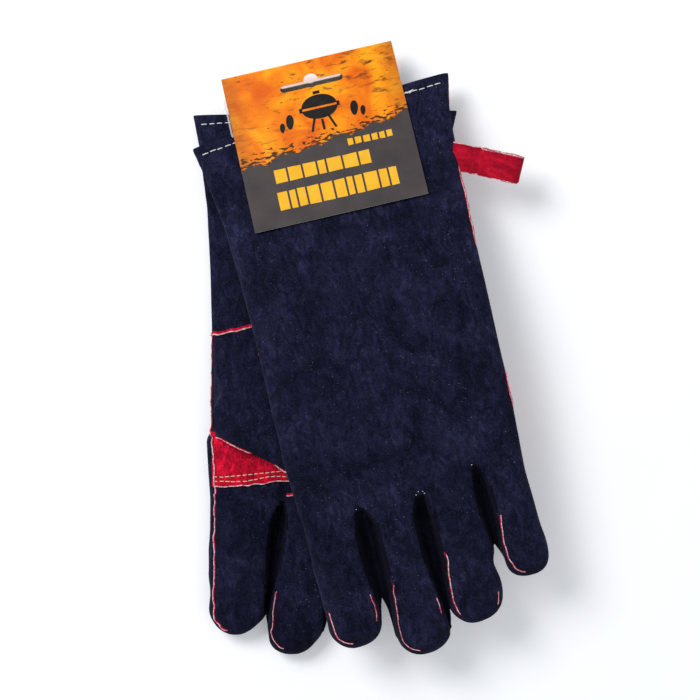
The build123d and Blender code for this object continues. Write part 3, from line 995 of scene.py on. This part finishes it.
def palm_patch(glove):
    """The red reinforcement, laid on the palm, with two rows of stitching along its lower edge."""
    columns, rows = 74, 30
    left, right = outer_x(PATCH_MIDDLE_Y, glove.side) + 3.4, side_x(PATCH_MIDDLE_Y, LITTLE_SIDE) - 3.6
    points = []
    for level in (PATCH_THICK, -0.4):
        for j in range(rows + 1):
            for i in range(columns + 1):
                x = left + (right - left) * i / columns
                y = patch_top(x) + (patch_low(x) - patch_top(x)) * j / rows
                place, normal = glove.on_surface(x, y, True)
                edge = min(j, rows - j, i, columns - i)
                points.append(place + normal * (level - (0.35 if edge == 0 and level > 0 else 0)))
    faces, slots = [], []

    def at(i, j, k):
        return (k * (rows + 1) + j) * (columns + 1) + i

    for j in range(rows):
        for i in range(columns):
            faces += [(at(i, j, 0), at(i, j + 1, 0), at(i + 1, j + 1, 0), at(i + 1, j, 0)),
                      (at(i, j, 1), at(i + 1, j, 1), at(i + 1, j + 1, 1), at(i, j + 1, 1))]
            slots += [0, 0]
    for i in range(columns):
        faces += [(at(i, rows, 0), at(i, rows, 1), at(i + 1, rows, 1), at(i + 1, rows, 0)),
                  (at(i, 0, 0), at(i + 1, 0, 0), at(i + 1, 0, 1), at(i, 0, 1))]
        slots += [1, 1]
    for j in range(rows):
        faces += [(at(0, j, 0), at(0, j, 1), at(0, j + 1, 1), at(0, j + 1, 0)),
                  (at(columns, j, 0), at(columns, j + 1, 0), at(columns, j + 1, 1), at(columns, j, 1))]
        slots += [1, 1]
    obj = glove.piece("patch", points, faces, [RED, PALE], slots, body="hand")
    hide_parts(f"{glove.side}_palm_patch")
    pile = Pile()
    for inset in (3.4, 6.8):
        path = [(x, patch_low(x) + inset + 0.3 * math.sin(x / 5 + inset))
                for x in np.linspace(left + 1, right - 2, 70)]
        stitches(glove, pile, path, True, 3.6, 2.9, 0.27, lift=PATCH_THICK, jitter=0.12)
    pile.made(glove, "patch_stitches", [YELLOW_THREAD], "cotton_lining", "hand")
    pile = Pile()
    path = [(x, patch_low(x) + 0.2, HAND_HEIGHT + 1) for x in np.linspace(left, right, 60)]
    pile.add(*edge_welt(glove, path, WHOLE, 0.2, 17, width=0.6, tall=0.35, red=0.2,
                        lift=PATCH_THICK - 0.3))
    pile.made(glove, "patch_edge", [RED, PALE], "red_suede", "hand")


def thumb_details(glove):
    """The raw seam flange along the thumb's lower edge, and the welts round the thumb."""
    along, across = thumb_axis()
    pile = Pile()
    base = np.array([*THUMB_BASE, 26.6])
    corner = np.array([-75.0, -208.5, 20.0])
    path = [corner] + [base + along * s - across * (THUMB_WIDTH / 2 + 2)
                       for s in np.linspace(4, THUMB_LENGTH - 12, 24)]
    pile.add(*edge_welt(glove, path, [(-0.1, 0.33), (0.5, 1.1)], 0.4, 33, thumb=True, width=0.9,
                        tall=0.4, red=0.2))
    path = [base + along * s + across * (THUMB_WIDTH / 2 + 3)
            for s in np.linspace(26, THUMB_LENGTH - 12, 20)]
    pile.add(*edge_welt(glove, path, [(0.1, 0.9)], 0.5, 35, thumb=True))
    pile.welts(glove, "thumb_welts", "thumb")


def knuckle_seam(glove):
    """The short welt across the palm under the middle and ring fingers."""
    pile = Pile()
    path = [(x, KNUCKLE_SEAM_Y + 0.8 * math.sin(x / 6), HAND_HEIGHT + 1)
            for x in np.linspace(-31, 30, 30)]
    pile.add(*edge_welt(glove, path, [(-0.1, 0.22), (0.35, 0.7)], 0.4, 71, width=0.8, red=1.2))
    pile.made(glove, "knuckle_welt", [RED, PALE], "red_suede", "hand")


def make_glove(side, seed):
    glove = Glove(side, seed)
    dress(glove)
    thumb_piece(glove)
    hem_stitches(glove)
    finger_welts(glove)
    side_welts(glove)
    wrist_welt(glove)
    if side == "left":
        web_stitches(glove)
    knuckle_seam(glove)
    palm_patch(glove)
    thumb_details(glove)


# ---- header card ---------------------------------------------------------------------
CARD_WIDTH = 112.0
CARD_FRONT = 106.0
CARD_THICK = 0.45
CARD_SLOPE = 13.5
CARD_DROP = 46.0
CARD_SPLIT_LEAN = math.radians(5)
CARD_CURL = 0.9
CARD_BACK_FLAT = 76.0
FOLD_RADIUS = 1.2
GROUND_RADIUS = 6.0
SLOT_AT = 16.5
SLOT_WIDTH = 41.0
SLOT_HEIGHT = 4.6
SLOT_BUMP = 4.8
SLOT_RISE = 2.0


class CardPath:
    """The card's section: down the front to the fold, round it, down to the ground and along it."""

    def __init__(self):
        joint = JOINTS["card_fold"]
        self.fold = np.array(joint["pos_m"]) / MM
        self.across = -np.array(joint["axis"])
        self.ahead = np.array([self.across[1], -self.across[0], 0.0])
        turn = math.radians(180 - CARD_SLOPE - CARD_DROP)
        self.drop = 0.0
        self.arc, self.bend = FOLD_RADIUS * turn, GROUND_RADIUS * math.radians(CARD_DROP)
        self.trace()
        self.drop = (self.path[-1, 1] - CARD_THICK / 2) / math.sin(math.radians(CARD_DROP))
        self.trace()

    def heading(self, v):
        first = 180 + CARD_SLOPE + (180 - CARD_SLOPE - CARD_DROP) * np.clip(v / self.arc + 0.5, 0, 1)
        return np.radians(first + CARD_DROP * np.clip((v - self.arc / 2 - self.drop) / self.bend, 0, 1))

    def trace(self):
        step = 0.1
        self.stops = np.arange(-CARD_FRONT, self.arc / 2 + self.drop + self.bend + CARD_BACK_FLAT, step)
        angle = self.heading(self.stops)
        path = np.cumsum(np.stack([np.cos(angle), np.sin(angle)], axis=1), axis=0) * step
        anchor = np.argmin(np.abs(self.stops + CARD_FRONT / 2))
        slope = math.radians(CARD_SLOPE)
        target = np.array([math.cos(slope), math.sin(slope)]) * CARD_FRONT / 2
        target = target + (0, self.fold[2] + CARD_THICK / 2)
        self.path = path - path[anchor] + target

    def place(self, u, v, w):
        """Row-frame metres of a point u across, v along the card from the fold, w off its middle."""
        angle = self.heading(v)
        ahead = np.interp(v, self.stops, self.path[:, 0]) - np.sin(angle) * -w
        height = np.interp(v, self.stops, self.path[:, 1]) - np.cos(angle) * w
        lift = CARD_CURL * np.clip(-v / CARD_FRONT, 0, 1) ** 3 * (u / CARD_WIDTH * 2) ** 2
        flat = self.fold * (1, 1, 0) + np.outer(u, self.across) + np.outer(ahead, self.ahead)
        return (flat + np.outer(height + lift, (0, 0, 1))) * MM


def prism(outline, depth):
    """A closed block with the given outline, in metres, for cutting the card."""
    count = len(outline)
    points = [(x * MM, y * MM, z) for z in (-depth * MM, depth * MM) for x, y in outline]
    faces = [tuple(range(count))[::-1], tuple(range(count, 2 * count))]
    faces += [(i, (i + 1) % count, (i + 1) % count + count, i + count) for i in range(count)]
    return new_mesh("cutter", points, faces, [])


def slot_outlines(middle, bump):
    """The hanging slot: a rounded bar, and the round bump on the side of the fold."""
    half, r = SLOT_WIDTH / 2 - SLOT_HEIGHT / 2, SLOT_HEIGHT / 2
    ends = [(math.pi / 2 + a, -half) for a in np.linspace(0, math.pi, 12)]
    ends += [(-math.pi / 2 + a, half) for a in np.linspace(0, math.pi, 12)]
    bar = [(x + r * math.cos(a), middle + r * math.sin(a)) for a, x in ends]
    lift = bump * SLOT_RISE
    circle = [(SLOT_BUMP * math.cos(a), middle + lift + SLOT_BUMP * math.sin(a))
              for a in np.linspace(0, 2 * math.pi, 36, endpoint=False)]
    return [bar, circle]


def header_card(path):
    """One folded sheet of card with a hanging slot through both halves."""
    low, high = -CARD_FRONT, path.stops[-1]
    near_fold = np.linspace(-path.arc, path.arc, 14)
    near_ground = path.arc / 2 + path.drop + np.linspace(0, path.bend, 8)
    stops = np.concatenate([np.linspace(low, -path.arc, 34), near_fold,
                            np.linspace(path.arc, path.arc / 2 + path.drop, 10), near_ground,
                            np.linspace(near_ground[-1], high, 10)])
    stops = np.unique(np.round(stops, 4))
    across = np.linspace(-CARD_WIDTH / 2, CARD_WIDTH / 2, 21)
    points = [(u * MM, v * MM, 0) for v in stops for u in across]
    faces = grid_faces(len(across), len(stops))
    card = new_mesh("header_card", points, faces, [CARD_PRINT, CARD_BOARD], shade=False)
    solid = card.modifiers.new("walls", "SOLIDIFY")
    solid.thickness, solid.offset = CARD_THICK * MM, 0
    cutters = []
    for middle, bump in ((-SLOT_AT, 1), (SLOT_AT, -1)):
        for outline in slot_outlines(middle, bump):
            cutter = prism(outline, 3)
            cut = card.modifiers.new("slot", "BOOLEAN")
            cut.object, cut.operation, cut.solver = cutter, "DIFFERENCE", "EXACT"
            cutters.append(cutter)
    applied(card)
    for cutter in cutters:
        bpy.data.objects.remove(cutter)
    flat, faces = arrays(card.data)
    bpy.data.objects.remove(card)
    flat = flat / MM
    lows = np.array([flat[list(face), 2].mean() for face in faces])
    slots = [0 if level < -0.4 * CARD_THICK else 1 for level in lows]
    laid = path.place(flat[:, 0], flat[:, 1], -flat[:, 2])
    obj = new_mesh("header_card", laid, faces, [CARD_PRINT, CARD_BOARD], slots,
                   rest=flat * (MM, MM, 0), shade=False)
    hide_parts("card_front", "card_back")
    # The plane between the halves leans so little that the whole back half lies below it.
    split = Vector(path.ahead) * math.sin(CARD_SPLIT_LEAN) * MM
    split += Vector((0, 0, 1)) * math.cos(CARD_SPLIT_LEAN) * MM
    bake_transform(obj)


def card_print(name):
    """Orange with brown grain above a torn edge, and warm dark grey below it."""
    look = Look(name)
    split = look.node("SeparateXYZ")
    look.join(look.where, split.inputs[0])
    across, along = split.outputs[0], split.outputs[1]
    orange = look.ramp(look.noise(38, 6, 1.0), (0.32, (0.70, 0.105, 0.001)),
                       (0.46, (0.86, 0.205, 0.001)), (0.62, (0.93, 0.36, 0.006)))
    scratch = look.noise(210, 8, 0.5, stretch=(0.5, 1.6, 1))
    worn = look.mask(look.noise(30, 4), 0.42, 0.6)
    marks = look.math("MULTIPLY", look.mask(scratch, 0.55, 0.66), worn)
    orange = look.mix(marks, orange, (0.14, 0.035, 0.006))
    rim = look.math("ADD", look.math("ABSOLUTE", across), look.math("MULTIPLY", scratch, 0.018))
    rim = look.mask(look.math("MULTIPLY", rim, 14), 0.72, 1.0)
    orange = look.mix(rim, orange, (0.42, 0.10, 0.01))
    slate = look.ramp(look.noise(60, 6), (0.3, (0.046, 0.038, 0.040)), (0.7, (0.070, 0.057, 0.056)))
    tear = look.math("MULTIPLY", look.math("SUBTRACT", look.noise(75, 6, 0.4), 0.5), 0.016)
    edge = look.math("ADD", look.math("ADD", look.math("MULTIPLY", across, 0.11), tear), -0.0567)
    above = look.math("MULTIPLY", look.math("SUBTRACT", along, edge), 50)
    closeness = look.ramp(above, (0.0, (0.22, 0.22, 0.22)), (0.5, (0, 0, 0)))
    grit = look.math("ADD", look.noise(420, 8, stretch=(0.6, 1.4, 1)), closeness)
    orange = look.mix(look.mask(grit, 0.66, 0.71), orange, (0.08, 0.025, 0.006))
    below = look.math("MULTIPLY", look.math("SUBTRACT", edge, along), 900)
    below = look.math("MINIMUM", look.math("MAXIMUM", below, 0.0), 1.0)
    return look.made(look.mix(below, orange, slate), (look.noise(14, 2), 0.25, 0.0012), Roughness=0.34,
                     Specular_IOR_Level=0.14, Coat_Weight=0.05, Coat_Roughness=0.15)


def plain(name, low, high, roughness):
    """Board, ink and other quiet surfaces, with a slight mottle."""
    look = Look(name)
    return look.made(look.ramp(look.noise(120, 5), (0.3, low), (0.7, high)),
                     (look.noise(960, 4), 0.2, 0.0002), Roughness=roughness,
                     Specular_IOR_Level=0.12)


CARD_PRINT = card_print("card_print")
CARD_BOARD = plain("card_board", (0.60, 0.57, 0.51), (0.72, 0.69, 0.63), 0.8)
BLACK_INK = plain("black_ink", (0.006, 0.005, 0.005), (0.016, 0.013, 0.012), 0.35)
YELLOW_INK = plain("yellow_ink", (0.84, 0.40, 0.015), (0.92, 0.50, 0.03), 0.45)


def inked(name, outlines, material, path):
    """Flat printed shapes on the card's front, each given by its outline across and along it."""
    points, faces = [], []
    for outline in outlines:
        first = len(points)
        points += [(u, v, CARD_THICK / 2 + level) for level in (0.01, 0.05) for u, v in outline]
        count = len(outline)
        faces.append(tuple(first + i for i in range(count))[::-1])
        faces.append(tuple(first + count + i for i in range(count)))
        faces += [(first + i, first + (i + 1) % count, first + (i + 1) % count + count, first + i + count)
                  for i in range(count)]
    points = np.array(points)
    obj = new_mesh(name, path.place(points[:, 0], points[:, 1], points[:, 2]), faces, [material],
                   rest=points * MM, shade=False)
    bm = bmesh.new()
    bm.from_mesh(obj.data)
    bmesh.ops.recalc_face_normals(bm, faces=bm.faces)
    bmesh.ops.triangulate(bm, faces=[f for f in bm.faces if len(f.verts) > 4])
    bm.to_mesh(obj.data)
    bm.free()
    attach(obj, "card_front")


def flame(u0, v0, size):
    """A plain flame that leans a little, widest below its middle."""
    shape = []
    for t in np.linspace(0, 2 * math.pi, 40, endpoint=False):
        lick = 0.5 + 0.5 * math.cos(t)
        radius = 0.42 + 0.58 * lick ** 3
        shape.append((u0 + size * (0.62 * radius * math.sin(t) + 0.14 * lick ** 2),
                      v0 + size * (radius * math.cos(t) - 0.1)))
    return shape


def half_oval(u0, v0, wide, high, upward):
    """Half an oval: a kettle's lid or its bowl."""
    turn = np.linspace(0, math.pi, 24) if upward else np.linspace(math.pi, 2 * math.pi, 24)
    return [(u0 + wide * math.cos(a), v0 + high * math.sin(a)) for a in turn]


def kettle_grill(u0, v0):
    """A kettle grill: lid, bowl, knob, three legs and two handles."""
    shapes = [half_oval(u0, v0 + 0.7, 11.5, 8.0, True), half_oval(u0, v0 - 0.7, 11.5, 7.0, False)]
    for x0, y0, x1, y1, w in ((0, 9.2, 0, 11.2, 2.2), (-7.8, -15.5, -4.6, -6.6, 0.8),
                              (7.8, -15.5, 4.6, -6.6, 0.8), (0, -15.5, 0, -8.2, 0.8),
                              (12.2, -1.6, 12.2, 1.6, 1.0), (-12.2, -1.6, -12.2, 1.6, 1.0)):
        shapes.append([(u0 + x0 - w, v0 + y0), (u0 + x0 + w, v0 + y0),
                       (u0 + x1 + w, v0 + y1), (u0 + x1 - w, v0 + y1)])
    return shapes


BLOCK_GAP = 1.3


def blocks(generator, left, right, v, height, shortest, longest):
    """A row of upright blocks that stands in for a line of print."""
    rows, u = [], left
    while u < right - shortest:
        width = min(generator.uniform(shortest, longest), right - u)
        lean = generator.uniform(-0.3, 0.3)
        top, foot = v + height / 2, v - height / 2
        rows.append([(u, foot), (u + width, foot + lean), (u + width, top), (u, top + lean)])
        u += width + BLOCK_GAP
    return rows


def card_graphics(path):
    """A grill between flames, and rows of blocks where a card has its lines of print."""
    generator = random.Random(5)
    badge = kettle_grill(1.5, -33.5)
    for place, size in ((-19.5, 7.0), (-24.8, 4.6), (22.5, 7.0), (27.8, 4.6)):
        badge.append(flame(place, -47.5 + size, size))
    inked("card_badge", badge, BLACK_INK, path)
    rows = []
    # Each row: left, right, height on the card, height of a block, and a block's least and most width.
    for row in ((-36, 30, -73.0, 9.0, 4.5, 9.5), (-37, 40, -89.5, 12.0, 3.8, 8.5),
                (14, 46, -61.0, 4.4, 3.2, 4.4)):
        rows += blocks(generator, *row)
    inked("card_lines", rows, YELLOW_INK, path)


# ---- hang loop and tie ---------------------------------------------------------------
LOOP_LENGTH = 42.0
LOOP_WIDTH = 17.2
LOOP_ROOT = 2.1
LOOP_THICK = 1.5
# Places across the strap. The outermost strips are the pale cut edges.
LOOP_COLUMNS = [-1, -0.955, -0.8, -0.6, -0.4, -0.2, 0, 0.2, 0.4, 0.6, 0.8, 0.955, 1]


def hang_loop():
    """A red suede strap folded in two and sewn into the side seam."""
    joint = JOINTS["loop_flap"]
    pin = np.array(joint["pos_m"]) / MM
    across = -np.array(joint["axis"])
    out = np.array([across[1], -across[0], 0.0])
    reach = LOOP_LENGTH - 2.5
    outline = []
    for t in np.linspace(0, 1, 40):
        outline.append((-7 + reach * t, -1.0 - 2.2 * smooth(t / 0.8) + 0.5 * math.sin(9 * t)))
    tip = outline[-1]
    for a in np.linspace(-1.3, 1.3, 12):
        outline.append((tip[0] + 1.3 + 3.0 * math.cos(a) - 0.6, 0.1 + 3.3 * math.sin(a)))
    for t in np.linspace(1, 0, 40):
        wave = 2.6 * math.exp(-((t - 0.40) / 0.085) ** 2)
        outline.append((-7 + reach * t,
                        1.0 + 2.3 * smooth(t / 0.7) - wave + 0.4 * math.sin(7 * t + 1)))
    outline = resample(outline, 0.9)
    columns = len(LOOP_COLUMNS)
    points, rest = [], []
    length = 0.0
    for k, (x, z) in enumerate(outline):
        length += 0 if k == 0 else math.dist(outline[k - 1], outline[k])
        for share in LOOP_COLUMNS:
            s = share * LOOP_WIDTH / 2
            shear = -0.16 * s * np.clip(1 - x / 20, 0, 1)
            edge = 0.35 * math.sin(x / 3.1 + 2 * s) * (abs(s) > LOOP_WIDTH / 2 - 0.1)
            lower = smooth((1.2 - z) / 2.4) * smooth(x / 12)
            wave = 0.55 * math.sin(s / 3.4 + x / 5.5) + 0.5 * math.sin(x / 3.3 - s / 9) * smooth(x / 10)
            bow = -1.1 * (2 * s / LOOP_WIDTH) ** 2 * (1 - 2 * lower) * 0.6
            points.append(pin + out * (x - LOOP_ROOT + shear + 1.2 * lower)
                          + across * (s + edge + 1.5 * lower) + np.array((0, 0, z + wave + bow)))
            rest.append((s * MM, length * MM, 0))
    faces = grid_faces(columns, len(outline))
    obj = new_mesh("hang_loop_strap", np.array(points) * MM, faces, [LOOP_RED, PALE], rest=rest)
    for number, face in enumerate(obj.data.polygons):
        face.material_index = int(number % (columns - 1) in (0, columns - 2))
    solid = obj.modifiers.new("walls", "SOLIDIFY")
    solid.thickness, solid.offset, solid.material_offset_rim = LOOP_THICK * MM, 0, 1
    applied(obj)
    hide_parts("hang_loop")
    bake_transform(obj)


def clear_nylon(name):
    look = Look(name, kept_place=False)
    return look.made((0.92, 0.94, 0.95), Transmission_Weight=0.7,
                     Roughness=look.math("MULTIPLY", look.noise(300, 2), 0.3))


# ---- scene ---------------------------------------------------------------------------
FLOOR_HALF = 3.0
FLOOR_Z = -0.0006
# Each light: name, place in metres, watts and width.
LIGHTS = [("key", (-1.0, 0.85, 1.5), 27, 0.9), ("fill", (0.9, -0.7, 1.7), 4, 1.6)]
CAMERA_PLACE = (-0.01195, -0.00007, 1.245)
CAMERA_ANGLE = math.radians(20.8)


def studio():
    """A pale floor, soft light from the upper left and the camera straight above."""
    look = Look("floor", kept_place=False)
    colour = look.ramp(look.noise(9, 3), (0.3, (0.86, 0.87, 0.89)), (0.7, (0.88, 0.88, 0.89)))
    material = look.made(colour, Roughness=0.6, Emission_Color=(0.93, 0.95, 1.0), Emission_Strength=0.2)
    corners = [(x * FLOOR_HALF, y * FLOOR_HALF, FLOOR_Z)
               for x, y in ((-1, -1), (1, -1), (1, 1), (-1, 1))]
    floor = new_mesh("floor", corners, [(0, 1, 2, 3)], [material])
    for name, place, power, width in LIGHTS:
        light = bpy.data.lights.new(name, "AREA")
        light.energy = power
        light.size = width
        lamp = bpy.data.objects.new(name, light)
        bpy.context.scene.collection.objects.link(lamp)
        lamp.location = place
        lamp.rotation_euler = Vector(place).to_track_quat("Z", "Y").to_euler()
    world = bpy.data.worlds.new("world")
    world.use_nodes = True
    sky = world.node_tree.nodes["Background"].inputs
    sky["Color"].default_value = (0.93, 0.96, 1.0, 1)
    sky["Strength"].default_value = 0.5
    bpy.context.scene.world = world
    bpy.context.scene.view_settings.view_transform = "Standard"
    data = bpy.data.cameras.new("camera")
    data.angle = CAMERA_ANGLE
    data.clip_end = 10
    camera = bpy.data.objects.new("camera", data)
    camera.location = CAMERA_PLACE
    bpy.context.scene.collection.objects.link(camera)
    bpy.context.scene.camera = camera


make_glove("right", 3)
make_glove("left", 8)
card_path = CardPath()
header_card(card_path)
card_graphics(card_path)
hang_loop()
tie = frame["nodes"]["tag_loop"]
tie.data.materials.clear()
tie.data.materials.append(clear_nylon("clear_nylon"))
studio()
